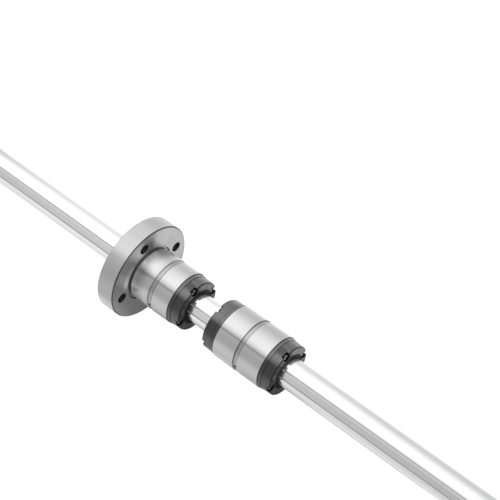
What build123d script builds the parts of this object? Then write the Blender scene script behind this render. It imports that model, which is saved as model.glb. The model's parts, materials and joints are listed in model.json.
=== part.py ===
from build123d import *
import math
import os

# Ball spline assembly: a ground spline shaft that carries one flanged nut and
# one straight (cylindrical) nut.  Each nut is a hardened steel sleeve with an
# end cap and a wiping seal at both ends, a ball retainer and four
# recirculating circuits of balls that run on both flanks of the two shaft crests.
#
# Frame: millimetres.  +X along the shaft, +Z up.  The origin is on the shaft
# axis in the mounting face of the flange.  Angles "beta" are in degrees about
# +X from +Z towards -Y, so beta 0 is up and beta 90 is -Y.
# "outward" is +1 at the +X end of a nut and -1 at its -X end.

os.makedirs("parts", exist_ok=True)

OVERRUN = 1.0            # how far a cutter passes the face it opens
SMALL_OVERRUN = 0.01     # the same for rows and taps in the sleeve end faces

# Shaft
SHAFT_R = 6.5
SHAFT_X0 = -104.0
SHAFT_X1 = 176.0
SHAFT_CHAMFER = 0.8
END_TAP_R = 2.1          # M5 tap drill radius
END_TAP_LEN = 12.0       # full-radius length below the countersink
END_SINK = 0.45          # countersink, both deep and wide
END_CONE_LEN = 1.25      # drill point, to three figures past the full radius

# Ball rows
CREST_BETAS = (43.0, 223.0)   # middle of each crest
LOAD_OFFSET = 14.3            # load row from the crest middle, degrees
RETURN_OFFSET = 30.5          # return row from the crest middle, degrees
BALL_R = 0.794                # 1.588 mm ball
LOAD_PITCH_R = 7.2
RETURN_PITCH_R = 8.75
RACE_R = 0.82                 # raceway
CHANNEL_R = 0.90              # return channel
BALLS_PER_CIRCUIT = 32

# Load row beta and return row beta of each circuit
CIRCUITS = [
    (crest + side * LOAD_OFFSET, crest + side * RETURN_OFFSET)
    for crest in CREST_BETAS
    for side in (-1.0, 1.0)
]

# Nuts and their sleeves
NUT_R = 12.0
NUT_LEN = 36.0           # over both caps
STEEL_LEN = 23.9         # between the inner faces of the caps
SLEEVE_BORE_R = 7.6
GROOVE_W = 2.1           # oil groove, at its mouth
GROOVE_R = 11.62         # oil groove floor
GROOVE_TAPER = 0.22      # axial lean of each groove wall
OIL_HOLE_R = 0.7
OIL_HOLE_INNER_R = SLEEVE_BORE_R - 0.8   # radii between which the cutter runs
OIL_HOLE_OUTER_R = GROOVE_R + 0.4
OIL_BETA = 90.0
EDGE_CHAMFER = 0.28

# Flange
FLANGE_R = 22.0
FLANGE_T = 8.8
FLANGE_CHAMFER = 0.45
BOLT_PITCH_R = 33.0 / 2.0
BOLT_R = 2.25
COUNTERBORE_R = 4.0
COUNTERBORE_DEPTH = 4.4
RELIEF_R_OUT = 12.9      # corner relief where the sleeve leaves the flange
RELIEF_R_IN = 11.72
RELIEF_X0 = -0.55
RELIEF_X1 = 1.1
RELIEF_WALL_TAPER = 0.12
RELIEF_RUNOUT = 0.2
CAP_BORE_IN_FLANGE_R = 11.6   # seat in the flange for the rear cap
CAP_SEAT_CHAMFER = 0.2

FLANGED_CENTRE = NUT_LEN / 2.0 - FLANGE_T   # rear cap flush with the flange
STRAIGHT_CENTRE = 58.1
FLANGED_GROOVE_X = 11.1

# Keyway of the straight nut, in line with the second crest
KEY_W = 3.0
KEY_DEPTH = 1.5
KEY_LEN = 15.0
KEY_CUT_HEIGHT = 4.0     # cutter height above the keyway floor
KEY_BETA = CREST_BETAS[1]

# End caps
CAP_LEN = (NUT_LEN - STEEL_LEN) / 2.0
COLLAR_R = 11.68         # collar against the steel
SEATED_COLLAR_R = 11.55  # collar of the cap that sits in the flange
COLLAR_W = 1.5
COLLAR_CHAMFER = 0.1
NECK_DEPTH = 0.08        # fine groove between collar and rim
NECK_W = 0.16
NECK_END = 0.24          # neck and its far wall, from the collar
RIM_INNER_R = 11.52      # main rim, next to the collar
RIM_OUTER_R = 11.42      # main rim, at the outer face (moulding draft)
CAP_EDGE = 0.4           # two-step edge break of the outer face
CAP_EDGE_STEP = 0.12
CAP_BORE_R = 6.85
CAP_RECESS_R = SLEEVE_BORE_R   # recess at the inner face
CAP_RECESS_DEPTH = 3.15
SEAL_SEAT_R = 7.95
SEAL_SEAT_DEPTH = 1.3
SEAL_SEAT_CHAMFER = 0.12
WITNESS_BETAS = (135.0, 315.0)      # mould witness lines, between the screws
WITNESS_R = 9.75                    # middle of each line
WITNESS_SIZE = (0.12, 0.16, 3.5)    # axial, across, radial

# Cap screws, their pockets and taps
SCREW_PITCH_R = 9.8
SCREW_BETAS = (0.0, 90.0, 180.0, 270.0)   # the flange bolts share these angles
POCKET_W = 3.3           # screw head pocket, open to the rim
POCKET_DEPTH = 1.4
POCKET_REACH = 4.0       # radial length of the open part
SCREW_HOLE_R = 0.86
TAP_R = 0.81
TAP_DEPTH = 4.3
HEAD_R = 1.45
HEAD_H = 1.05
SHANK_R = 0.79
SHANK_CHAMFER = 0.25
SHANK_LEN = CAP_LEN - POCKET_DEPTH + 4.0   # reaches 4 mm into the steel
# Pan head outline: height above the seat, inset from the head radius
HEAD_OUTLINE = ((0.0, 0.05), (0.08, 0.0), (0.45, 0.02), (0.74, 0.22), (0.94, 0.6))
CROSS_SIZE = (1.0, 0.34, 1.55)   # cutter centred on the head top, so half deep
CROSS_TURNS = (45, 135)

# Seals
SEAL_R_IN = 6.56
SEAL_R_OUT = 7.92
SEAL_T = 1.22
SEAL_INSET = 0.04        # outer face below the cap face
SEAL_CHAMFER = 0.12
LIP_CHAMFER = 0.15
LIP_END = 0.75           # depth where the straight lip ends
SEAL_BACK_RELIEF = 0.35  # bore is this much wider at the back
LOBE_R = 0.69
LOBE_PITCH_R = 7.12
LOBE_DEPTHS = (0.15, 0.7)

# Ball retainers
RETAINER_R_IN = 6.62
RETAINER_R_OUT = 7.48
RETAINER_LEN = STEEL_LEN + 6.0
RETAINER_SLOT_R = 0.84
RETAINER_TURN_OVERLAP = 0.05   # turn cuts start this far inside the slots

TURN_BOX = 12.0          # width of the box that halves a turn ring


# ------------------------------------------------------------------- helpers
def yz(radius, beta):
    angle = math.radians(beta)
    return (-radius * math.sin(angle), radius * math.cos(angle))


def row(x_from, x_to, radius, pitch_r, beta):
    """Cylinder along X, pitch_r from the shaft axis; the ends may be in either order."""
    middle = Pos((x_from + x_to) / 2.0, *yz(pitch_r, beta))
    return middle * Rot(0, 90, 0) * Cylinder(radius, abs(x_to - x_from))


def revolved(points):
    """Turn a closed outline of (x, radius) points about the shaft axis."""
    return revolve(make_face(Polyline(*points, close=True)), Axis.X)


def radial_plane(x, radius, beta):
    """Plane that faces away from the shaft axis, at this radius."""
    return Plane(origin=(x, *yz(radius, beta)), x_dir=(1, 0, 0), z_dir=(0, *yz(1, beta)))


def turn_frame(load_beta, return_beta):
    """Middle (y, z), unit vector (y, z) from load to return row, and turn radius."""
    load_y, load_z = yz(LOAD_PITCH_R, load_beta)
    return_y, return_z = yz(RETURN_PITCH_R, return_beta)
    span_y, span_z = return_y - load_y, return_z - load_z
    span = math.hypot(span_y, span_z)
    middle = ((load_y + return_y) / 2.0, (load_z + return_z) / 2.0)
    return middle, (span_y / span, span_z / span), span / 2.0


def turn_tube(x_plane, outward, load_beta, return_beta):
    """Half ring that joins a load row to its return row beyond x_plane."""
    middle, (unit_y, unit_z), turn_r = turn_frame(load_beta, return_beta)
    plane = Plane(origin=(x_plane, *middle), x_dir=(1, 0, 0), z_dir=(0, -unit_z, unit_y))
    ring = plane * Torus(turn_r, CHANNEL_R)
    reach = 2.0 * (turn_r + CHANNEL_R)
    keep = Pos(x_plane + outward * reach / 2.0, *middle) * Box(reach, TURN_BOX, TURN_BOX)
    return ring & keep


# --------------------------------------------------------------------- shaft
def make_shaft():
    body = revolved(
        [
            (SHAFT_X0, 0),
            (SHAFT_X0, SHAFT_R - SHAFT_CHAMFER),
            (SHAFT_X0 + SHAFT_CHAMFER, SHAFT_R),
            (SHAFT_X1 - SHAFT_CHAMFER, SHAFT_R),
            (SHAFT_X1, SHAFT_R - SHAFT_CHAMFER),
            (SHAFT_X1, 0),
        ]
    )
    for load_beta, _ in CIRCUITS:
        body -= row(SHAFT_X0 - OVERRUN, SHAFT_X1 + OVERRUN, RACE_R, LOAD_PITCH_R, load_beta)
    # tapped centre holes with a countersunk mouth
    full_depth = END_SINK + END_TAP_LEN
    for x_end, inward in ((SHAFT_X0, 1.0), (SHAFT_X1, -1.0)):
        body -= revolved(
            [
                (x_end - inward * OVERRUN, 0),
                (x_end - inward * OVERRUN, END_TAP_R + END_SINK),
                (x_end, END_TAP_R + END_SINK),
                (x_end + inward * END_SINK, END_TAP_R),
                (x_end + inward * full_depth, END_TAP_R),
                (x_end + inward * (full_depth + END_CONE_LEN), 0),
            ]
        )
    return body


# ------------------------------------------------------------------- sleeves
def outside_from_groove(groove_x, x_end):
    """Sleeve outline from the oil groove to the +X end and down to the bore."""
    half = GROOVE_W / 2.0
    return [
        (groove_x - half, NUT_R),
        (groove_x - half + GROOVE_TAPER, GROOVE_R),
        (groove_x + half - GROOVE_TAPER, GROOVE_R),
        (groove_x + half, NUT_R),
        (x_end - EDGE_CHAMFER, NUT_R),
        (x_end, NUT_R - EDGE_CHAMFER),
        (x_end, SLEEVE_BORE_R),
    ]


def cut_rows_and_taps(body, centre):
    x0, x1 = centre - STEEL_LEN / 2.0, centre + STEEL_LEN / 2.0
    ends = (x0 - SMALL_OVERRUN, x1 + SMALL_OVERRUN)
    for load_beta, return_beta in CIRCUITS:
        body -= row(*ends, RACE_R, LOAD_PITCH_R, load_beta)
        body -= row(*ends, CHANNEL_R, RETURN_PITCH_R, return_beta)
    for beta in SCREW_BETAS:
        body -= row(ends[0], x0 + TAP_DEPTH, TAP_R, SCREW_PITCH_R, beta)
        body -= row(x1 - TAP_DEPTH, ends[1], TAP_R, SCREW_PITCH_R, beta)
    return body


def oil_hole(x):
    middle_r = (OIL_HOLE_INNER_R + OIL_HOLE_OUTER_R) / 2.0
    length = OIL_HOLE_OUTER_R - OIL_HOLE_INNER_R
    return radial_plane(x, middle_r, OIL_BETA) * Cylinder(OIL_HOLE_R, length)


def make_flanged_sleeve():
    back = -FLANGE_T
    seat_x = FLANGED_CENTRE - STEEL_LEN / 2.0
    body = revolved(
        [
            (back, CAP_BORE_IN_FLANGE_R + CAP_SEAT_CHAMFER),
            (back, FLANGE_R - FLANGE_CHAMFER),
            (back + FLANGE_CHAMFER, FLANGE_R),
            (-FLANGE_CHAMFER, FLANGE_R),
            (0, FLANGE_R - FLANGE_CHAMFER),
            (0, RELIEF_R_OUT),
            (RELIEF_X0, RELIEF_R_OUT - RELIEF_WALL_TAPER),
            (RELIEF_X0, RELIEF_R_IN),
            (RELIEF_X1 - RELIEF_RUNOUT, RELIEF_R_IN),
            (RELIEF_X1, NUT_R),
            *outside_from_groove(FLANGED_GROOVE_X, FLANGED_CENTRE + STEEL_LEN / 2.0),
            (seat_x, SLEEVE_BORE_R),
            (seat_x, CAP_BORE_IN_FLANGE_R),
            (back + CAP_SEAT_CHAMFER, CAP_BORE_IN_FLANGE_R),
        ]
    )
    body = cut_rows_and_taps(body, FLANGED_CENTRE)
    for beta in SCREW_BETAS:
        body -= row(back - OVERRUN, OVERRUN, BOLT_R, BOLT_PITCH_R, beta)
        body -= row(
            back - OVERRUN, back + COUNTERBORE_DEPTH, COUNTERBORE_R, BOLT_PITCH_R, beta
        )
    body -= oil_hole(FLANGED_GROOVE_X)
    return body


def make_straight_sleeve():
    x0 = STRAIGHT_CENTRE - STEEL_LEN / 2.0
    body = revolved(
        [
            (x0, SLEEVE_BORE_R),
            (x0, NUT_R - EDGE_CHAMFER),
            (x0 + EDGE_CHAMFER, NUT_R),
            *outside_from_groove(STRAIGHT_CENTRE, STRAIGHT_CENTRE + STEEL_LEN / 2.0),
        ]
    )
    body = cut_rows_and_taps(body, STRAIGHT_CENTRE)
    body -= oil_hole(STRAIGHT_CENTRE)
    # keyway with round ends, sunk into the outside diameter
    floor = radial_plane(STRAIGHT_CENTRE, NUT_R - KEY_DEPTH, KEY_BETA)
    body -= extrude(floor * SlotOverall(KEY_LEN, KEY_W), amount=KEY_CUT_HEIGHT)
    return body


# ---------------------------------------------------------------------- caps
def screw_pocket(x_from, x_to):
    """Screw head pocket at beta 0, with a round floor end and open to the rim."""
    open_part = Box(abs(x_to - x_from), POCKET_W, POCKET_REACH)
    open_centre = Pos((x_from + x_to) / 2.0, 0, SCREW_PITCH_R + POCKET_REACH / 2.0)
    return row(x_from, x_to, POCKET_W / 2.0, SCREW_PITCH_R, 0.0) + open_centre * open_part


def make_cap(centre, outward, seated):
    """End cap.  A seated cap sits inside the flange: slim collar and no neck."""
    inner = centre + outward * STEEL_LEN / 2.0
    outer = centre + outward * NUT_LEN / 2.0
    collar_r = SEATED_COLLAR_R if seated else COLLAR_R
    neck_r = RIM_INNER_R - (0.0 if seated else NECK_DEPTH)
    body = revolved(
        [
            (inner, CAP_RECESS_R),
            (inner, collar_r - COLLAR_CHAMFER),
            (inner + outward * COLLAR_CHAMFER, collar_r),
            (inner + outward * (COLLAR_W - COLLAR_CHAMFER), collar_r),
            (inner + outward * COLLAR_W, neck_r),
            (inner + outward * (COLLAR_W + NECK_W), neck_r),
            (inner + outward * (COLLAR_W + NECK_END), RIM_INNER_R),
            (outer - outward * CAP_EDGE, RIM_OUTER_R),
            (outer - outward * CAP_EDGE_STEP, RIM_OUTER_R - CAP_EDGE_STEP),
            (outer, RIM_OUTER_R - CAP_EDGE),
            (outer, SEAL_SEAT_R + SEAL_SEAT_CHAMFER),
            (outer - outward * SEAL_SEAT_CHAMFER, SEAL_SEAT_R),
            (outer - outward * SEAL_SEAT_DEPTH, SEAL_SEAT_R),
            (outer - outward * SEAL_SEAT_DEPTH, CAP_BORE_R),
            (inner + outward * CAP_RECESS_DEPTH, CAP_BORE_R),
            (inner + outward * CAP_RECESS_DEPTH, CAP_RECESS_R),
        ]
    )
    for load_beta, return_beta in CIRCUITS:
        body -= turn_tube(inner, outward, load_beta, return_beta)
    past_outer = outer + outward * OVERRUN
    for beta in SCREW_BETAS:
        body -= row(inner - outward * OVERRUN, past_outer, SCREW_HOLE_R, SCREW_PITCH_R, beta)
        body -= Rot(beta, 0, 0) * screw_pocket(outer - outward * POCKET_DEPTH, past_outer)
    for beta in WITNESS_BETAS:
        body -= Rot(beta, 0, 0) * (Pos(outer, 0, WITNESS_R) * Box(*WITNESS_SIZE))
    return body


# --------------------------------------------------------- seals and retainers
def make_seal(centre, outward):
    outer = centre + outward * (NUT_LEN / 2.0 - SEAL_INSET)
    back = outer - outward * SEAL_T
    ring = revolved(
        [
            (back, SEAL_R_IN + SEAL_BACK_RELIEF),
            (back, SEAL_R_OUT),
            (outer - outward * SEAL_CHAMFER, SEAL_R_OUT),
            (outer, SEAL_R_OUT - SEAL_CHAMFER),
            (outer, SEAL_R_IN + LIP_CHAMFER),
            (outer - outward * LIP_CHAMFER, SEAL_R_IN),
            (outer - outward * LIP_END, SEAL_R_IN),
        ]
    )
    # lobes that follow the four raceways of the shaft
    lobe_ends = [outer - outward * depth for depth in LOBE_DEPTHS]
    for load_beta, _ in CIRCUITS:
        ring += row(*lobe_ends, LOBE_R, LOBE_PITCH_R, load_beta)
    return ring


def make_retainer(centre):
    low, high = centre - RETAINER_LEN / 2.0, centre + RETAINER_LEN / 2.0
    body = revolved(
        [
            (low, RETAINER_R_IN),
            (low, RETAINER_R_OUT),
            (high, RETAINER_R_OUT),
            (high, RETAINER_R_IN),
        ]
    )
    x0, x1 = centre - STEEL_LEN / 2.0, centre + STEEL_LEN / 2.0
    for load_beta, return_beta in CIRCUITS:
        body -= row(x0, x1, RETAINER_SLOT_R, LOAD_PITCH_R, load_beta)
        body -= turn_tube(x0 + RETAINER_TURN_OVERLAP, -1.0, load_beta, return_beta)
        body -= turn_tube(x1 - RETAINER_TURN_OVERLAP, 1.0, load_beta, return_beta)
    return body


# -------------------------------------------------------------------- screws
def make_screw():
    """Pan head cross recess screw along X, seat at x = 0, head on +X."""
    body = revolved(
        [
            (-SHANK_LEN, 0),
            (-SHANK_LEN, SHANK_R - SHANK_CHAMFER),
            (-SHANK_LEN + SHANK_CHAMFER, SHANK_R),
            (0, SHANK_R),
            *((height, HEAD_R - inset) for height, inset in HEAD_OUTLINE),
            (HEAD_H, 0),
        ]
    )
    for turn in CROSS_TURNS:
        body -= Rot(turn, 0, 0) * Pos(HEAD_H, 0, 0) * Box(*CROSS_SIZE)
    return body


def make_screws(centre, outward):
    seat = centre + outward * (NUT_LEN / 2.0 - POCKET_DEPTH)
    screws = []
    for beta in SCREW_BETAS:
        screw = make_screw()
        if outward < 0:
            screw = Rot(0, 180, 0) * screw
        screws.append(Pos(seat, *yz(SCREW_PITCH_R, beta)) * Rot(beta, 0, 0) * screw)
    return screws


# --------------------------------------------------------------------- balls
def make_circuit(centre, load_beta, return_beta):
    """Balls of one closed circuit: load row, turn, return row, turn."""
    (middle_y, middle_z), (unit_y, unit_z), turn_r = turn_frame(load_beta, return_beta)
    turn_len = math.pi * turn_r
    lap = 2.0 * (STEEL_LEN + turn_len)
    x0, x1 = centre - STEEL_LEN / 2.0, centre + STEEL_LEN / 2.0
    balls = []
    for i in range(BALLS_PER_CIRCUIT):
        travel = (i + 0.5) * lap / BALLS_PER_CIRCUIT
        returning = travel >= STEEL_LEN + turn_len
        if returning:
            travel -= STEEL_LEN + turn_len
        start, end, heading = (x1, x0, -1.0) if returning else (x0, x1, 1.0)
        # the angle stays 0 along the straight row, then grows round the turn
        angle = max(0.0, travel - STEEL_LEN) / turn_r
        if travel < STEEL_LEN:
            x = start + heading * travel
        else:
            x = end + heading * math.sin(angle) * turn_r
        across = -heading * math.cos(angle) * turn_r
        centre_point = Pos(x, middle_y + unit_y * across, middle_z + unit_z * across)
        balls.append(centre_point * Sphere(BALL_R))
    return balls


# -------------------------------------------------------------------- export
def write(name, *shapes):
    solids = [solid for shape in shapes for solid in shape.solids()]
    item = solids[0] if len(solids) == 1 else Compound(children=solids)
    item.label = name
    export_step(item, f"parts/{name}.step")


# Nut name, centre, sleeve maker, and its ends as (name, outward, seated in flange)
NUTS = (
    ("flanged_nut", FLANGED_CENTRE, make_flanged_sleeve,
     (("front", 1.0, False), ("rear", -1.0, True))),
    ("straight_nut", STRAIGHT_CENTRE, make_straight_sleeve,
     (("left", -1.0, False), ("right", 1.0, False))),
)

write("spline_shaft", make_shaft())
for nut, centre, make_sleeve, ends in NUTS:
    write(f"{nut}_sleeve", make_sleeve())
    write(f"{nut}_ball_retainer", make_retainer(centre))
    for end, outward, seated in ends:
        write(f"{nut}_{end}_cap", make_cap(centre, outward, seated))
        write(f"{nut}_{end}_seal", make_seal(centre, outward))
        write(f"{nut}_{end}_screws", *make_screws(centre, outward))
    for number, betas in enumerate(CIRCUITS, start=1):
        write(f"{nut}_ball_circuit_{number}", *make_circuit(centre, *betas))
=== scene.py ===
"""Ball spline: a shaft along X with a flanged nut and a plain nut on it.

The shaft axis is the X axis and Z is up.  Meshes are in metres; the
dimensions and the material coordinates are in millimetres.  Angles round
the axis are in degrees, 0 at +Z and 90 at -Y.
"""
import json
import math

import bpy
import bmesh
from mathutils import Matrix, Vector


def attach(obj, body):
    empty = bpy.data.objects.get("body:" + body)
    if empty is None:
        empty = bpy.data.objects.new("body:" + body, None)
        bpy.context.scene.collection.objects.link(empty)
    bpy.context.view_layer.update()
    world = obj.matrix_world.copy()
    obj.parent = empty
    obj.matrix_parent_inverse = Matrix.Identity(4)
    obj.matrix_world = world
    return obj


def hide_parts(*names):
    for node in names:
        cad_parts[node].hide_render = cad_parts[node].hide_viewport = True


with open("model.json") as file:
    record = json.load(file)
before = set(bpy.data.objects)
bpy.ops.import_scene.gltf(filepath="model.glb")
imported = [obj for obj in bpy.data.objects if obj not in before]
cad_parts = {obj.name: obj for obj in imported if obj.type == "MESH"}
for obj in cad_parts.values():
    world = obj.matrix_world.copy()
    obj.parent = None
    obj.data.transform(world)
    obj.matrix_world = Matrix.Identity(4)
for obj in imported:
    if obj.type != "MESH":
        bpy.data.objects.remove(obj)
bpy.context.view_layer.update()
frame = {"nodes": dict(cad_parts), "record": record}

scene = bpy.context.scene
scene.view_settings.view_transform = "Standard"
scene.view_settings.look = "None"
scene.view_settings.exposure = 0.0
scene.view_settings.gamma = 1.0

# ------------------------------------------------------------ dimensions, mm
SHAFT_RADIUS = 6.5
SHAFT_X0, SHAFT_X1 = -104.0, 176.0
SHAFT_CHAMFER = 0.8
RACE_ANGLES = (28.7, 57.3, 208.7, 237.3)
RACE_CENTRE = 7.2               # shaft axis to the centre of a raceway's arc
RACE_RADIUS = 0.82
TAP_MINOR, TAP_MAJOR = 2.1, 2.48    # radii of the thread in the end holes
TAP_PITCH = 0.8
TAP_LENGTH = 12.0
TAP_START = 0.45                # depth of the first thread row

GROOVE_X = (11.1, 58.1)         # oil grooves, flanged nut first
JOINT_X = (21.15, 46.15, 70.05)     # joints between steel and cap
CAP_RIMS_X = ((22.6, 25.9), (71.5, 74.8))   # rims of the +X caps
FLANGE_HOLE_CIRCLE = 16.5       # radius of the ring of bolt holes
CAP_SCREW_CIRCLE = 9.8          # radius of the ring of cap screws

DEGREES = 180.0 / math.pi


# ------------------------------------------------------------ node helpers
class Value:
    """A node output.  Arithmetic on it adds math nodes to its tree."""

    def __init__(self, socket):
        self.socket = socket

    def __add__(self, other):
        return calc("ADD", self, other)

    def __radd__(self, other):
        return calc("ADD", other, self)

    def __sub__(self, other):
        return calc("SUBTRACT", self, other)

    def __rsub__(self, other):
        return calc("SUBTRACT", other, self)

    def __mul__(self, other):
        return calc("MULTIPLY", self, other)

    def __truediv__(self, other):
        return calc("DIVIDE", self, other)

    def __pow__(self, other):
        return calc("POWER", self, other)

    def __gt__(self, other):
        return calc("GREATER_THAN", self, other)

    def __lt__(self, other):
        return calc("LESS_THAN", self, other)

    def __abs__(self):
        return calc("ABSOLUTE", self)

    def clamped(self):
        """Clamps the math node that made this value to 0..1."""
        self.socket.node.use_clamp = True
        return self

    def remap(self, from_min, from_max, to_min=0.0, to_max=1.0, smooth=False):
        node = make(self.socket.id_data, "ShaderNodeMapRange",
                    {0: self, 1: from_min, 2: from_max, 3: to_min, 4: to_max})
        if smooth:
            node.interpolation_type = "SMOOTHSTEP"
        return Value(node.outputs[0])

    def fade_in(self, start, end):
        return self.remap(start, end, 0.0, 1.0, smooth=True)

    def fade_out(self, start, end):
        return self.remap(start, end, 1.0, 0.0, smooth=True)

    def below(self, start, end):
        """1 under start, falling straight to 0 at end."""
        return self.remap(start, end, 1.0, 0.0)

    def spread(self, low, high):
        """Spreads the middle of a noise over low..high."""
        return self.remap(0.3, 0.7, low, high)

    def swing(self, amount):
        """A noise centred on 0 and scaled."""
        return (self - 0.5) * amount


def plug(socket, value):
    if isinstance(value, Value):
        socket.id_data.links.new(value.socket, socket)
    else:
        socket.default_value = value


def fill(node, inputs):
    for key, value in inputs.items():
        plug(node.inputs[key], value)


def make(tree, kind, inputs=None, **settings):
    node = tree.nodes.new(kind)
    for key, value in settings.items():
        setattr(node, key, value)
    fill(node, inputs or {})
    return node


def source(tree, kind, output=0, inputs=None):
    """One output of a new node."""
    return Value(make(tree, kind, inputs).outputs[output])


def tree_of(*values):
    return next(v.socket.id_data for v in values if isinstance(v, Value))


def calc(operation, *operands):
    node = make(tree_of(*operands), "ShaderNodeMath", dict(enumerate(operands)),
                operation=operation)
    return Value(node.outputs[0])


def curve(factor, table, first=-180.0, last=180.0, peak=1.0):
    """Colour ramp from (station, level) pairs: stations first..last span 0..1,
    and levels are stored as a share of peak."""
    node = make(tree_of(factor), "ShaderNodeValToRGB", {0: factor})
    elements = node.color_ramp.elements
    while len(elements) < len(table):
        elements.new(1.0)
    for element, (station, level) in zip(elements, table):
        level = level / peak
        element.position = (station - first) / (last - first)
        element.color = (level, level, level, 1.0)
    return Value(node.outputs[0])


def combine(x, y, z):
    return source(tree_of(x, y, z), "ShaderNodeCombineXYZ", inputs={0: x, 1: y, 2: z})


def grey(level):
    return combine(level, level, level)


def split(vector):
    node = make(tree_of(vector), "ShaderNodeSeparateXYZ", {0: vector})
    return [Value(output) for output in node.outputs]


def mix(factor, first, second, kind="MIX"):
    node = make(tree_of(factor, first, second), "ShaderNodeMix",
                data_type="RGBA", blend_type=kind)
    fill(node, {0: factor, 6: first, 7: second})
    return Value(node.outputs[2])


def blend(mask, outside, within):
    """Float mix: outside where mask is 0, within where it is 1."""
    node = make(tree_of(mask), "ShaderNodeMix", data_type="FLOAT")
    fill(node, {0: mask, 2: outside, 3: within})
    return Value(node.outputs[0])


def where(mask, factor):
    """A multiplier: factor inside the mask, 1 outside it."""
    return blend(mask, 1.0, factor)


def window(value, in_start, in_end, out_start, out_end):
    """Fades in over the first pair and out over the second."""
    return value.fade_in(in_start, in_end) * value.fade_out(out_start, out_end)


def inside(value, low, high, soft):
    """1 where low < value < high, with edges of half-width soft."""
    return window(value, low - soft, low + soft, high - soft, high + soft)


def disc(distance, radius, soft):
    return inside(distance, -1.0, radius, soft)


def union(first, *others):
    for other in others:
        first = calc("MAXIMUM", first, other)
    return first


def noise(vector, scale, detail, rough, distortion=0.0):
    return source(tree_of(vector), "ShaderNodeTexNoise", inputs={
        "Vector": vector, "Scale": scale, "Detail": detail,
        "Roughness": rough, "Distortion": distortion})


def bump(height, strength, distance):
    return source(tree_of(height), "ShaderNodeBump", inputs={
        "Height": height, "Strength": strength, "Distance": distance})


def round_axis(y, z):
    """Angle about X in radians, from +Z towards -Y."""
    return calc("ARCTAN2", y * -1.0, z)


def circle_distance(y, z, circle):
    """Distance to the nearest of four centres on a circle, at +-Y and +-Z.
    Also returns |y| and |z|."""
    side, rise = abs(y), abs(z)
    at_y = calc("SQRT", (side - circle) ** 2.0 + rise ** 2.0)
    at_z = calc("SQRT", (rise - circle) ** 2.0 + side ** 2.0)
    return calc("MINIMUM", at_y, at_z), side, rise


def lay_noise(x, radius, density, detail, rough):
    """Lines round the axis: fed by x on the outside, by radius on faces."""
    return noise(combine(x * density, radius * density, 0.0), 1.0, detail, rough)


def edges(geometry, sharp, gain):
    """Painted highlight: extra brightness on convex edges."""
    return Value(geometry.outputs["Pointiness"]).remap(0.5, sharp, 0.0, gain, smooth=True)


# --------------------------------------------------------- material helpers
def new_material(name):
    material = bpy.data.materials.new(name)
    material.use_nodes = True
    nodes = material.node_tree.nodes
    return material, next(node for node in nodes if node.type == "BSDF_PRINCIPLED")


def new_plain_material(name):
    """A material without its Principled node: material, tree, surface socket."""
    material, bsdf = new_material(name)
    tree = material.node_tree
    tree.nodes.remove(bsdf)
    output = next(node for node in tree.nodes if node.type == "OUTPUT_MATERIAL")
    return material, tree, output.inputs[0]


def shaft_coordinates(tree):
    """Object coordinates in mm: the vector, x, y, z and the axis distance."""
    scale = make(tree, "ShaderNodeVectorMath", operation="SCALE")
    fill(scale, {0: source(tree, "ShaderNodeTexCoord", "Object"), 3: 1000.0})
    place = Value(scale.outputs[0])
    x, y, z = split(place)
    return place, x, y, z, calc("SQRT", y * y + z * z)


def ground_steel(place, x, radius, rough, lay, rough_var, tint_var):
    """Roughness, shade and height of ground steel: lay lines round the axis,
    cloudy polish and small specks."""
    lines = lay_noise(x, radius, lay, detail=3.0, rough=0.65)
    cloud = noise(place, 0.16, detail=4.0, rough=0.55)
    fine = noise(place, 2.2, detail=5.0, rough=0.6)
    speck = noise(place, 9.0, detail=2.0, rough=0.5)
    rough = rough + cloud.swing(rough_var * 2.0) + lines.swing(rough_var * 1.2)
    rough = (rough + (speck > 0.72) * 0.04).clamped()
    shade = (1.0 - tint_var) + (cloud + fine) * tint_var
    shade = shade * lines.spread(1.0 - tint_var * 0.6, 1.0 + tint_var * 0.2)
    return rough, shade, lines + fine * 0.25


def tinted(base, shade):
    return mix(1.0, (*base, 1.0), grey(shade), "MULTIPLY")


def finish_metal(bsdf, base, shade, rough, height, depth):
    fill(bsdf, {
        "Roughness": rough,
        "Base Color": tinted(base, shade),
        "Metallic": 1.0,
        "Normal": bump(height, strength=1.0, distance=depth),
    })


def ground_lay(bsdf, amount, plain=None):
    """Anisotropic shine from marks round the axis, none in the plain mask."""
    bsdf.inputs["Anisotropic"].default_value = amount
    if plain is not None:
        plug(bsdf.inputs["Anisotropic"], blend(plain, amount, 0.0))
    axis = source(bsdf.id_data, "ShaderNodeCombineXYZ", inputs={0: 1.0})
    plug(bsdf.inputs["Tangent"], axis)


# --------------------------------------------------------------- materials
def shaft_steel():
    """Near mirror with faint lines round it, painted shade in each raceway
    and in the end holes, and dull end faces."""
    material, bsdf = new_material("shaft_polished")
    place, x, y, z, radius = shaft_coordinates(material.node_tree)
    rough, shade, height = ground_steel(
        place, x, radius, rough=0.13, lay=6.0, rough_var=0.012, tint_var=0.015)
    body = x.remap(-103.3, -103.15) * x.below(175.15, 175.3)
    race = radius.below(6.486, 6.496) * body
    end = 1.0 - body
    hole = radius.below(2.5, 2.62)
    turning = noise(combine(0.0, radius * 7.0, 0.0), 1.0, detail=4.0, rough=0.7)
    smut = noise(place, 0.7, detail=4.0, rough=0.6)
    # painted shade in the raceways, which are also rougher
    shade = shade * where(race, 0.72)
    shade = shade * where(end, turning.spread(0.40, 0.62) * smut.spread(0.90, 1.06))
    # painted shade in the end holes
    shade = shade * where(hole, 0.55)
    ground_lay(bsdf, 0.80, plain=union(race, end))
    rough = (rough + race * 0.36 + end * turning.spread(0.14, 0.24)).clamped()
    finish_metal(bsdf, (0.86, 0.86, 0.862), shade, rough,
                 height * 0.4 + turning * end * 14.0, depth=0.0000006)
    return material


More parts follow.
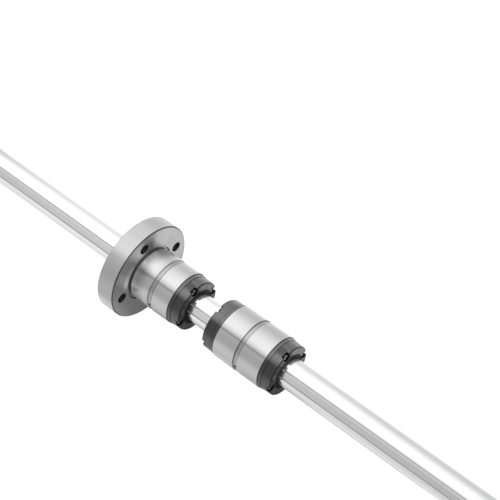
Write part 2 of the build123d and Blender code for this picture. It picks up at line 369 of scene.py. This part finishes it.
# Gain beside the flange: (degrees round the axis, gain)
ROOT_TONE = (
    (-180, 1.0), (-70, 1.02), (-58, 1.10), (-36, 0.90), (-24, 1.02), (-12, 1.28),
    (0, 1.60), (6, 1.58), (12, 1.30), (18, 1.08), (24, 0.84), (29, 0.62), (33, 0.70),
    (37, 0.92), (50, 1.0), (57, 1.12), (61, 1.32), (66, 1.60), (78, 1.46), (90, 1.25),
    (96, 0.95), (102, 0.78), (112, 0.78), (150, 1.0),
)
# How strongly ROOT_TONE acts: (x in mm, weight)
ROOT_WEIGHT = ((0.0, 1.35), (2.75, 1.32), (4.5, 1.0), (6.5, 0.42), (8.4, 0.10), (9.6, 0.0))
# Painted reflection, brighter stretches of the flange rim: (window in degrees, factor)
RIM_TONES = (
    ((-64.0, -50.0, -20.0, 0.0), 1.30),
    ((10.0, 24.0, 42.0, 56.0), 1.16),
    ((76.0, 92.0, 104.0, 118.0), 1.26),
)
# Painted shade on the groove walls: (groove x, side, weight)
GROOVE_WALLS = (
    (GROOVE_X[0], -1.0, 0.38), (GROOVE_X[0], 1.0, 1.0),
    (GROOVE_X[1], -1.0, 1.0), (GROOVE_X[1], 1.0, 1.0),
)
FLANGE_ROUGH = 0.34
# The rim is painted lighter than the face as painted reflection.
FACE_SHADE = 0.77
RIM_SHADE = 1.04


def root_gain(x, beta):
    """Tone match: the stretch beside the flange mirrors a brighter flange
    than this studio gives it."""
    tone = curve(beta / 360.0 + 0.5, ROOT_TONE, peak=2.0) * 2.0 - 1.0
    weight = curve(x.remap(0.0, 10.0), ROOT_WEIGHT, first=0.0, last=10.0, peak=2.0)
    weight = weight * 2.0 * (x > 1.0)
    return calc("MINIMUM", 1.0 + tone * weight, 1.68)


def flange_look(place, x, radius, beta, turning):
    """Roughness and shade of the turned flange."""
    patch = noise(place, 0.35, detail=4.0, rough=0.6)
    rim = radius.remap(21.85, 21.95)
    rough = FLANGE_ROUGH + patch.swing(0.10) + turning.swing(0.12) + rim * 0.08
    shade = blend(rim, FACE_SHADE, RIM_SHADE) * turning.spread(0.94, 1.04)
    shade = shade * patch.spread(0.96, 1.03)
    # painted reflection: brighter stretches of the rim
    for stretch, factor in RIM_TONES:
        shade = shade * where(window(beta, *stretch) * rim, factor)
    # Painted reflection, not wear: the +X face is painted darker beside the +Z hole and
    # lighter round the root of the nut.
    face = (1.0 - rim) * x.remap(-0.2, -0.1)
    dark_reflection = window(beta, -27.0, -14.0, -5.0, 3.0)
    dark_reflection = dark_reflection * radius.remap(16.5, 20.5, 1.0, 0.62, smooth=True)
    shade = shade * where(dark_reflection * face, 0.36)
    root = window(beta, 18.0, 42.0, 64.0, 84.0) * radius.fade_out(13.0, 17.0)
    return rough, shade * where(root * face, 2.05)


def nut_steel():
    """Ground nut bodies and the turned flange.  The shade factors by region
    are tone matches, so they hold some of the light as well as the surface."""
    material, bsdf = new_material("nut_ground")
    tree = material.node_tree
    place, x, y, z, radius = shaft_coordinates(tree)
    rough, shade, height = ground_steel(
        place, x, radius, rough=0.215, lay=9.0, rough_var=0.025, tint_var=0.03)
    band = noise(combine(x * 1.7, 0.0, 0.0), 1.0, detail=4.0, rough=0.7)
    shade = shade * band.remap(0.25, 0.75, 0.955, 1.03)
    ground_lay(bsdf, 0.90)
    near_flange = x.fade_out(1.0, 9.5) * (x > 1.0)
    rough = (rough + near_flange * 0.06).clamped()
    beta = round_axis(y, z) * DEGREES
    shade = shade * root_gain(x, beta)

    flange = radius.remap(12.85, 12.95)
    turning = lay_noise(x, radius, 16.0, detail=4.0, rough=0.7)
    flange_rough, flange_shade = flange_look(place, x, radius, beta, turning)
    rough = blend(flange, rough, flange_rough)
    shade = blend(flange, shade, flange_shade)
    # painted highlight on convex edges
    shade = shade + edges(make(tree, "ShaderNodeNewGeometry"), sharp=0.56, gain=0.08)

    # bolt holes and counterbores: painted shade in the holes, round their edges and in the
    # counterbores
    distance, _, _ = circle_distance(y, z, FLANGE_HOLE_CIRCLE)
    hole = disc(distance, 2.30, 0.01) * radius.remap(12.0, 12.1)
    hole_edge = inside(distance, 2.30, 2.50, 0.05) * radius.remap(12.0, 12.1)
    counterbore = disc(distance, 4.03, 0.01) * inside(x, -8.75, -4.3, 0.02) * flange
    # oil holes, on the -Y side of each groove, with painted shade in them
    oil = union(*[
        disc(calc("SQRT", (x - groove) ** 2.0 + z ** 2.0), 0.76, 0.02) * (y < 0.0)
        for groove in GROOVE_X])
    # oil grooves: floors a little duller, walls with painted shade
    groove_floor = union(*[
        inside(x, groove - 1.08, groove + 1.08, 0.03) for groove in GROOVE_X])
    groove_floor = groove_floor * radius.below(11.93, 11.985)
    groove_wall = union(*[
        inside(x, groove + side * 0.96 - 0.17, groove + side * 0.96 + 0.17, 0.05) * weight
        for groove, side, weight in GROOVE_WALLS])
    groove_wall = groove_wall * radius.remap(11.2, 11.3) * radius.below(12.2, 12.3)
    # Painted shade: dark line along the +X edge of the flanged nut's groove
    edge_line = inside(x, 11.95, 12.40, 0.12) * radius.below(12.2, 12.3)
    # relief ring at the root of the flange with painted shade in it, and a
    # painted highlight line on its ledge
    relief = inside(x, -0.7, 0.60, 0.12) * inside(radius, 11.5, 12.93, 0.03)
    ledge = inside(x, -0.7, -0.45, 0.03) * inside(radius, 11.95, 12.45, 0.10)
    # chamfer on the +X edge of the flange
    chamfer = inside(x, -0.50, -0.02, 0.03) * radius.remap(21.5, 21.6)
    joint = union(*[inside(x, at - 0.30, at + 0.30, 0.06) for at in JOINT_X])
    joint = joint * radius.below(12.2, 12.3)
    # The painted shade in the bolt holes is kept out of the nut's own
    # reflections, where it would show as two spots.
    in_mirror = source(tree, "ShaderNodeLightPath", "Is Glossy Ray")
    hole_factor = blend(in_mirror, 0.11, 0.95)
    for mask, factor in (
        (groove_floor, 0.82), (groove_wall, 0.42), (edge_line, 0.58), (relief, 0.30),
        (ledge, 4.2), (chamfer, 0.22), (joint, 0.20), (hole_edge, 0.75),
        (counterbore, 0.5), (hole, hole_factor), (oil, 0.04),
    ):
        shade = shade * where(mask, factor)
    rough = (rough + union(hole, oil, relief) * 0.25).clamped()
    rough = (rough + groove_floor * 0.05).clamped()
    finish_metal(bsdf, (0.575, 0.575, 0.577), shade, rough,
                 height + turning * flange * 1.5, depth=0.0000025)
    return material


# Painted sheen, the specular level of the caps: (degrees round the axis, level)
CAP_RIM_SHEEN = (
    (-180, 0.5), (-75, 0.62), (-60, 1.30), (-50, 1.80), (-42, 1.55), (-34, 1.02),
    (-26, 0.78), (5, 0.72), (14, 0.84), (24, 0.80), (31, 0.36), (58, 0.32),
    (68, 0.50), (110, 0.5), (180, 0.5),
)
CAP_FACE_SHEEN = (
    (-180, 0.4), (-82, 0.12), (-66, 0.50), (-28, 0.50), (-14, 0.12), (60, 0.12),
    (85, 0.3), (105, 0.6), (140, 0.6), (180, 0.4),
)


def cap_painted_sheen(geometry, place, x, y, z, radius):
    """Painted sheen: how bright the caps' rims and faces read round the axis."""
    beta = round_axis(y, z) * DEGREES
    turns = beta / 360.0 + 0.5
    outer = radius.remap(11.25, 11.35)
    rim = curve(turns, CAP_RIM_SHEEN)
    face = curve(turns, CAP_FACE_SHEEN) * radius.remap(8.0, 9.0, 0.35, 1.0, smooth=True)
    blotch = noise(place, 1.3, detail=3.0, rough=0.6)
    level = blend(outer, face, rim) * blotch.spread(0.86, 1.12)
    along = split(Value(geometry.outputs["True Normal"]))[0]
    chamfer = inside(abs(along), 0.30, 0.96, 0.03)
    level = level * where(chamfer, 0.35)
    # The screw pockets, and the rim behind the +Z one, read darker than this
    # studio makes them.
    distance, side, rise = circle_distance(y, z, CAP_SCREW_CIRCLE)
    round_part = (distance < 1.72) * (radius < 11.2)
    slot_part = (calc("MINIMUM", side, rise) < 1.70) * inside(radius, 9.8, 11.22, 0.02)
    behind = union(*[inside(x, x0, x1, 0.5) for x0, x1 in CAP_RIMS_X])
    behind = behind * window(beta, -15.0, -9.0, 0.0, 10.0)
    level = level * where(union(round_part, slot_part), 0.30)
    return level * where(behind * outer, 0.52)


def resin(name, base, rough, grain, depth, ior=1.5, specular=0.5, painted_sheen_by_side=False):
    """Moulded black resin: fine spark texture, slight gloss patches, faint
    flow lines and a painted highlight on the edges."""
    material, bsdf = new_material(name)
    place, x, y, z, radius = shaft_coordinates(material.node_tree)
    spark = noise(place, grain, detail=3.0, rough=0.6)
    flow = noise(place, 0.9, detail=5.0, rough=0.6, distortion=0.6)
    rings = lay_noise(x, radius, 5.0, detail=2.0, rough=0.5)
    geometry = make(material.node_tree, "ShaderNodeNewGeometry")
    shade = 0.8 + flow * 0.4 + edges(geometry, sharp=0.58, gain=0.8)
    if painted_sheen_by_side:
        specular = cap_painted_sheen(geometry, place, x, y, z, radius)
    fill(bsdf, {
        "Roughness": (rough + flow.swing(0.16) + spark.swing(0.12)).clamped(),
        "Base Color": tinted(base, shade),
        "IOR": ior,
        "Specular IOR Level": specular,
        "Normal": bump(spark * 0.7 + rings * 0.5, strength=0.8, distance=depth),
    })
    return material


def screw_steel():
    """Black oxide cap screws, with a painted highlight on the crown of the head
    between painted shade in the recess and on the rim."""
    material, bsdf = new_material("screw_black")
    place, x, y, z, radius = shaft_coordinates(material.node_tree)
    rough, shade, height = ground_steel(
        place, x, radius, rough=0.15, lay=12.0, rough_var=0.05, tint_var=0.1)
    distance, _, _ = circle_distance(y, z, CAP_SCREW_CIRCLE)
    # painted shade in the recess, painted highlight on the crown, painted shade on the rim
    shade = shade * where(disc(distance, 0.50, 0.10), 0.12)
    shade = shade * where(inside(distance, 0.50, 1.08, 0.10), 2.6)
    shade = shade * where(distance.remap(1.12, 1.25), 0.22)
    finish_metal(bsdf, (0.13, 0.13, 0.131), shade, rough, height, depth=0.000002)
    return material


def ball_steel():
    material, bsdf = new_material("ball_steel")
    tree = material.node_tree
    place, x, y, z, radius = shaft_coordinates(tree)
    rough, shade, height = ground_steel(
        place, x, radius, rough=0.04, lay=3.0, rough_var=0.01, tint_var=0.02)
    # painted highlight on convex edges
    shade = shade + edges(make(tree, "ShaderNodeNewGeometry"), sharp=0.56, gain=0.10)
    finish_metal(bsdf, (0.85, 0.85, 0.87), shade, rough, height, depth=0.0000003)
    return material


SLOTS = {
    "shaft_steel": shaft_steel(),
    "nut_steel": nut_steel(),
    "cap_resin": resin("cap_resin", (0.009, 0.009, 0.009), rough=0.28, grain=7.0,
                       depth=0.000008, ior=1.9, painted_sheen_by_side=True),
    "seal_rubber": resin("seal_rubber", (0.006, 0.006, 0.006), rough=0.45, grain=10.0,
                         depth=0.000010, ior=1.4, specular=0.10),
    "retainer_resin": resin("retainer_resin", (0.03, 0.03, 0.033), rough=0.45, grain=8.0,
                            depth=0.00001),
    "black_screw": screw_steel(),
    "ball_steel": ball_steel(),
}
slot_of = {part["node"]: part["material_slot"] for part in frame["record"]["subparts"]}
for name, obj in frame["nodes"].items():
    for slot in obj.material_slots:
        slot.link = "OBJECT"
        slot.material = SLOTS[slot_of[name]]


# -------------------------------------------------------------------- shaft
def add_object(name, bm, material):
    mesh = bpy.data.meshes.new(name)
    bm.to_mesh(mesh)
    bm.free()
    obj = bpy.data.objects.new(name, mesh)
    scene.collection.objects.link(obj)
    mesh.materials.append(material)
    return obj


def clamp01(value):
    return min(1.0, max(0.0, value))


def angle_between(beta, other):
    """Signed difference in degrees, -180..180."""
    return (beta - other + 180.0) % 360.0 - 180.0


def race_radius(beta):
    """Outside radius of the shaft at an angle, raceways included."""
    radius = SHAFT_RADIUS
    for race in RACE_ANGLES:
        turn = math.radians(angle_between(beta, race))
        if abs(turn) < math.radians(6.0):
            square = RACE_RADIUS ** 2 - (RACE_CENTRE * math.sin(turn)) ** 2
            if square > 0.0:
                radius = min(radius, RACE_CENTRE * math.cos(turn) - math.sqrt(square))
    return radius


def thread_radius(depth, beta, direction):
    """Radius of the end hole at a depth below the first thread row."""
    phase = (depth / TAP_PITCH - beta / 360.0 * direction) % 1.0
    # 0 at the crest, 1 at the root, both flattened
    profile = clamp01((1.0 - abs(2.0 * phase - 1.0) - 0.12) / 0.76)
    fade = clamp01((depth - 0.15) / 0.5) * clamp01((TAP_LENGTH - 0.6 - depth) / 0.8)
    return TAP_MINOR + (TAP_MAJOR - TAP_MINOR) * profile * fade


def shaft_angles():
    """Every 2 degrees, with closer stations across each raceway."""
    edge = math.degrees(math.acos(
        (RACE_CENTRE ** 2 + SHAFT_RADIUS ** 2 - RACE_RADIUS ** 2)
        / (2 * RACE_CENTRE * SHAFT_RADIUS)))
    betas = {step * 2.0 for step in range(180)}
    for race in RACE_ANGLES:
        betas = {beta for beta in betas if abs(angle_between(beta, race)) > edge + 0.35}
        betas.update((race + edge * k / 6.0) % 360.0 for k in range(-6, 7))
        betas.update((race + side * (edge + 0.25)) % 360.0 for side in (-1.0, 1.0))
    return sorted(betas)


# From the hole's mouth out to the chamfer: (depth from the end, radius limit)
END_RINGS = (
    (0.04, TAP_MINOR + 0.41),
    (0.0, TAP_MINOR + 0.47),
    (0.0, 4.1),
    (0.0, SHAFT_RADIUS - SHAFT_CHAMFER - 0.05),
    (0.03, SHAFT_RADIUS - SHAFT_CHAMFER + 0.01),
    (SHAFT_CHAMFER - 0.03, SHAFT_RADIUS - 0.04),
    (SHAFT_CHAMFER + 0.05, SHAFT_RADIUS),
)
THREAD_ROWS = 96
BODY_RINGS = 27
BODY_INSET = 2.0                # shaft end to the first body ring
TAP_TIP = 1.7                   # depth of the cone below TAP_LENGTH


def build_shaft():
    """Replaces the CAD shaft with a finer mesh, M5 threads in its end holes."""
    betas = shaft_angles()
    bm = bmesh.new()

    def ring(x, radius_at):
        verts = []
        for beta in betas:
            radius = radius_at(beta)
            turn = math.radians(beta)
            verts.append(bm.verts.new((
                x / 1000.0,
                -radius * math.sin(turn) / 1000.0,
                radius * math.cos(turn) / 1000.0)))
        return verts

    def bridge(first, second):
        for i in range(len(betas)):
            j = (i + 1) % len(betas)
            bm.faces.new((first[i], first[j], second[j], second[i]))

    def build_end(x_end, direction):
        """Closed end from the hole's bottom to the chamfer; returns its last
        ring.  direction points into the shaft."""
        rings = []
        for row in range(THREAD_ROWS + 1):
            depth = TAP_LENGTH * (THREAD_ROWS - row) / THREAD_ROWS
            rings.append(ring(x_end + direction * (TAP_START + depth),
                              lambda beta: thread_radius(depth, beta, direction)))
        for depth, limit in END_RINGS:
            rings.append(ring(x_end + direction * depth,
                              lambda beta: min(race_radius(beta), limit)))
        tip_x = x_end + direction * (TAP_LENGTH + TAP_TIP)
        tip = bm.verts.new((tip_x / 1000.0, 0.0, 0.0))
        bottom = rings[0]
        for i in range(len(betas)):
            bm.faces.new((tip, bottom[i], bottom[(i + 1) % len(betas)]))
        for first, second in zip(rings, rings[1:]):
            bridge(first, second)
        return rings[-1]

    previous = build_end(SHAFT_X0, 1.0)
    right = build_end(SHAFT_X1, -1.0)
    length = SHAFT_X1 - SHAFT_X0 - 2 * BODY_INSET
    for k in range(BODY_RINGS):
        current = ring(SHAFT_X0 + BODY_INSET + length * k / (BODY_RINGS - 1), race_radius)
        bridge(previous, current)
        previous = current
    bridge(previous, right)
    bmesh.ops.recalc_face_normals(bm, faces=bm.faces)
    obj = add_object("spline_shaft_fine", bm, SLOTS["shaft_steel"])
    for poly in obj.data.polygons:
        poly.use_smooth = True
    obj.data.set_sharp_from_angle(angle=math.radians(22.0))
    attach(obj, "shaft")
    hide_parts("spline_shaft")


build_shaft()

# ------------------------------------------------------------- studio, metres
FLOOR_Z = -0.060
FLAG_Z = -0.034
FLAG_CORNERS = ((-0.16, -0.09), (0.23, -0.09), (0.23, 0.05), (-0.16, 0.05))


def floor_material():
    material, tree, surface = new_plain_material("floor_pale")
    cloud = noise(source(tree, "ShaderNodeTexCoord", "Object"), 3.0, detail=3.0, rough=0.5)
    diffuse = source(tree, "ShaderNodeBsdfDiffuse", inputs={0: grey(cloud.spread(0.985, 1.0))})
    glow = source(tree, "ShaderNodeEmission", inputs={1: 0.25})
    plug(surface, source(tree, "ShaderNodeAddShader", inputs={0: diffuse, 1: glow}))
    return material


def build_floor():
    bm = bmesh.new()
    bmesh.ops.create_grid(bm, x_segments=1, y_segments=1, size=6.0)
    floor = add_object("floor", bm, floor_material())
    floor.location = (0, 0, FLOOR_Z)
    floor.visible_glossy = False


# Shade under the flanged nut: (x in mm, density)
SHADE_ALONG = (
    (-20, 0.0), (4, 0.0), (13, 0.60), (22, 0.50), (30, 0.38), (35, 0.22), (40, 0.26),
    (46, 0.62), (52, 0.70), (80, 0.70),
)
# Shade under the flange: (y in mm, density)
SHADE_ACROSS = (
    (-44, 0.0), (-36, 0.05), (-26, 0.33), (-18, 0.66), (-12, 0.86), (-4, 0.80),
    (4, 0.50), (12, 0.10), (20, 0.0),
)


def flag_material():
    """Dark emission with tone-matched density; clear elsewhere."""
    material, tree, surface = new_plain_material("flag_under")
    x, y, _ = split(source(tree, "ShaderNodeTexCoord", "Object"))
    core = window(x, -0.030, -0.012, 0.128, 0.168) * window(y, -0.016, -0.006, 0.006, 0.022)
    wide = window(x, -0.026, -0.012, 0.062, 0.090) * (
        y.remap(-0.052, -0.010) * y.fade_out(-0.010, 0.010))
    along = curve(x.remap(-0.02, 0.08), SHADE_ALONG, first=-20.0, last=80.0)
    wide = wide * (along / 0.70)
    by_flange = curve(y.remap(-0.060, 0.040), SHADE_ACROSS, first=-60.0, last=40.0)
    by_flange = by_flange * window(x, -0.026, -0.012, 0.004, 0.014)
    # seen from other sides the shade runs along the whole shaft
    view_x = split(source(tree, "ShaderNodeNewGeometry", "Incoming"))[0]
    other_side = 1.0 - window(view_x, 0.08, 0.22, 0.57, 0.70)
    other_side = other_side * (1.0 - window(view_x, -0.64, -0.52, -0.31, -0.20))
    long_core = window(x, -0.150, -0.080, 0.150, 0.220) * window(y, -0.040, 0.0, 0.0, 0.040)
    density = union(core * 0.92, (wide * 0.62).clamped(), by_flange,
                    long_core * other_side * 0.62)
    clear = source(tree, "ShaderNodeBsdfTransparent")
    dark = source(tree, "ShaderNodeEmission", inputs={0: (0.18, 0.18, 0.18, 1.0)})
    plug(surface, source(tree, "ShaderNodeMixShader", inputs={0: density, 1: clear, 2: dark}))
    return material


def build_flag():
    """A soft dark flag under the object, seen only in reflections: it stands
    for the object's own shade on the table."""
    bm = bmesh.new()
    bm.faces.new([bm.verts.new((x, y, FLAG_Z)) for x, y in FLAG_CORNERS])
    flag = add_object("flag_under", bm, flag_material())
    flag.visible_camera = False
    flag.visible_diffuse = False
    flag.visible_shadow = False
    flag.visible_transmission = False


build_floor()
build_flag()

# -------------------------------------------------------------------- world
WORLD_STRENGTH = 2.0            # ramp levels are stored as a share of this
REFLECTANCE = 0.56              # turns wanted surface levels into light levels
# Light for the camera's own side: (degrees, wanted sRGB level 0..255)
PROFILE = (
    (-180, 212), (-166, 224), (-152, 230), (-140, 216), (-128, 198), (-116, 189),
    (-104, 185), (-93, 183), (-80, 179), (-69, 187), (-57, 197), (-45, 209), (-29, 222),
    (-13, 230), (3, 234), (9, 231), (15, 220), (21, 204), (26, 184), (30.5, 157),
    (33.2, 104), (35.8, 104), (38.5, 152), (43, 160), (60, 156), (80, 158), (88, 167),
    (95, 180), (102, 184), (140, 181), (160, 192), (180, 212),
)
# Fall-off along the shaft, towards +X: (direction x, factor)
TREND = (
    (-0.56, 1.13), (-0.48, 1.14), (-0.45, 1.22), (-0.415, 1.20), (-0.385, 1.04),
    (-0.33, 0.97), (-0.27, 0.90), (-0.10, 0.90), (0.10, 1.0),
)
# A more contrasted studio for directions the camera's side never reflects,
# so that edges read from every other side too: (degrees, light level)
AROUND = (
    (-180, 0.56), (-162, 0.66), (-142, 0.60), (-123, 0.44), (-108, 0.35), (-97, 0.28),
    (-90, 0.28), (-80, 0.37), (-65, 0.47), (-50, 0.66), (-38, 0.93), (-22, 1.02),
    (0, 1.04), (18, 1.00), (31, 0.84), (44, 0.58), (57, 0.45), (74, 0.41), (88, 0.40),
    (98, 0.32), (111, 0.36), (125, 0.50), (142, 0.64), (162, 0.68), (180, 0.56),
)


def srgb_to_linear(level):
    """Linear light of an sRGB level 0..255, above the curve's straight foot."""
    return ((level / 255.0 + 0.055) / 1.055) ** 2.4


def build_world():
    world = bpy.data.worlds.new("studio")
    scene.world = world
    world.use_nodes = True
    tree = world.node_tree
    tree.nodes.clear()
    x, y, z = split(source(tree, "ShaderNodeTexCoord", "Generated"))
    angle = round_axis(y, z)
    turns = angle / (2.0 * math.pi) + 0.5
    beta = angle * DEGREES

    levels = [(at, srgb_to_linear(level) / REFLECTANCE) for at, level in PROFILE]
    own_side = curve(turns, levels, peak=WORLD_STRENGTH)
    trend = curve(x.remap(-1.0, 1.0), TREND, first=-1.0, last=1.0, peak=2.0) * 2.0
    trend = 1.0 + (trend - 1.0) * window(beta, -168.0, -152.0, 118.0, 142.0)
    own_side = mix(1.0, own_side, grey(trend), "MULTIPLY")

    around = curve(turns, AROUND, peak=WORLD_STRENGTH)
    # low fills, one towards -X and -Y, one towards +X and +Y
    minus_fill = window(beta, 80.0, 102.0, 122.0, 150.0) * x.fade_out(-0.62, -0.50)
    plus_fill = window(beta, -160.0, -134.0, -112.0, -92.0) * x.fade_in(0.50, 0.62)
    around = mix(1.0, around, grey(union(minus_fill, plus_fill) * 0.22), "ADD")
    # plain vertical gradient at the two ends of the X axis
    pole = abs(x).fade_in(0.88, 0.97)
    around = mix(pole, around, grey(z.remap(-0.22, 0.22, 0.36, 0.66)))
    own = union(window(x, -0.61, -0.55, -0.22, -0.08), window(x, 0.20, 0.31, 0.52, 0.64))

    reflected = source(tree, "ShaderNodeBackground",
                       inputs={0: mix(own, around, own_side), 1: WORLD_STRENGTH})
    white = source(tree, "ShaderNodeBackground", inputs={0: (1, 1, 1, 1), 1: 1.0})
    rays = make(tree, "ShaderNodeLightPath").outputs
    plain = union(Value(rays["Is Camera Ray"]), Value(rays["Is Diffuse Ray"]))
    shader = source(tree, "ShaderNodeMixShader", inputs={0: plain, 1: reflected, 2: white})
    make(tree, "ShaderNodeOutputWorld", {0: shader})


build_world()

# ------------------------------------------------------------------- camera
CAMERA_PLACE = Vector((0.29693, -0.22035, 0.52676))
CAMERA_BACK = Vector((0.42071784, -0.39540625, 0.81648662))
CAMERA_RIGHT = Vector((0.75031181, 0.65755906, -0.06817822))


def build_camera():
    lens = bpy.data.cameras.new("camera")
    camera = bpy.data.objects.new("camera", lens)
    scene.collection.objects.link(camera)
    lens.sensor_width = 36.0
    lens.lens = 110.83
    lens.clip_start = 0.01
    lens.clip_end = 50.0
    back = CAMERA_BACK.normalized()
    right = (CAMERA_RIGHT - back * CAMERA_RIGHT.dot(back)).normalized()
    turn = Matrix((right, back.cross(right), back)).transposed().to_4x4()
    camera.matrix_world = Matrix.Translation(CAMERA_PLACE) @ turn
    scene.camera = camera


build_camera()
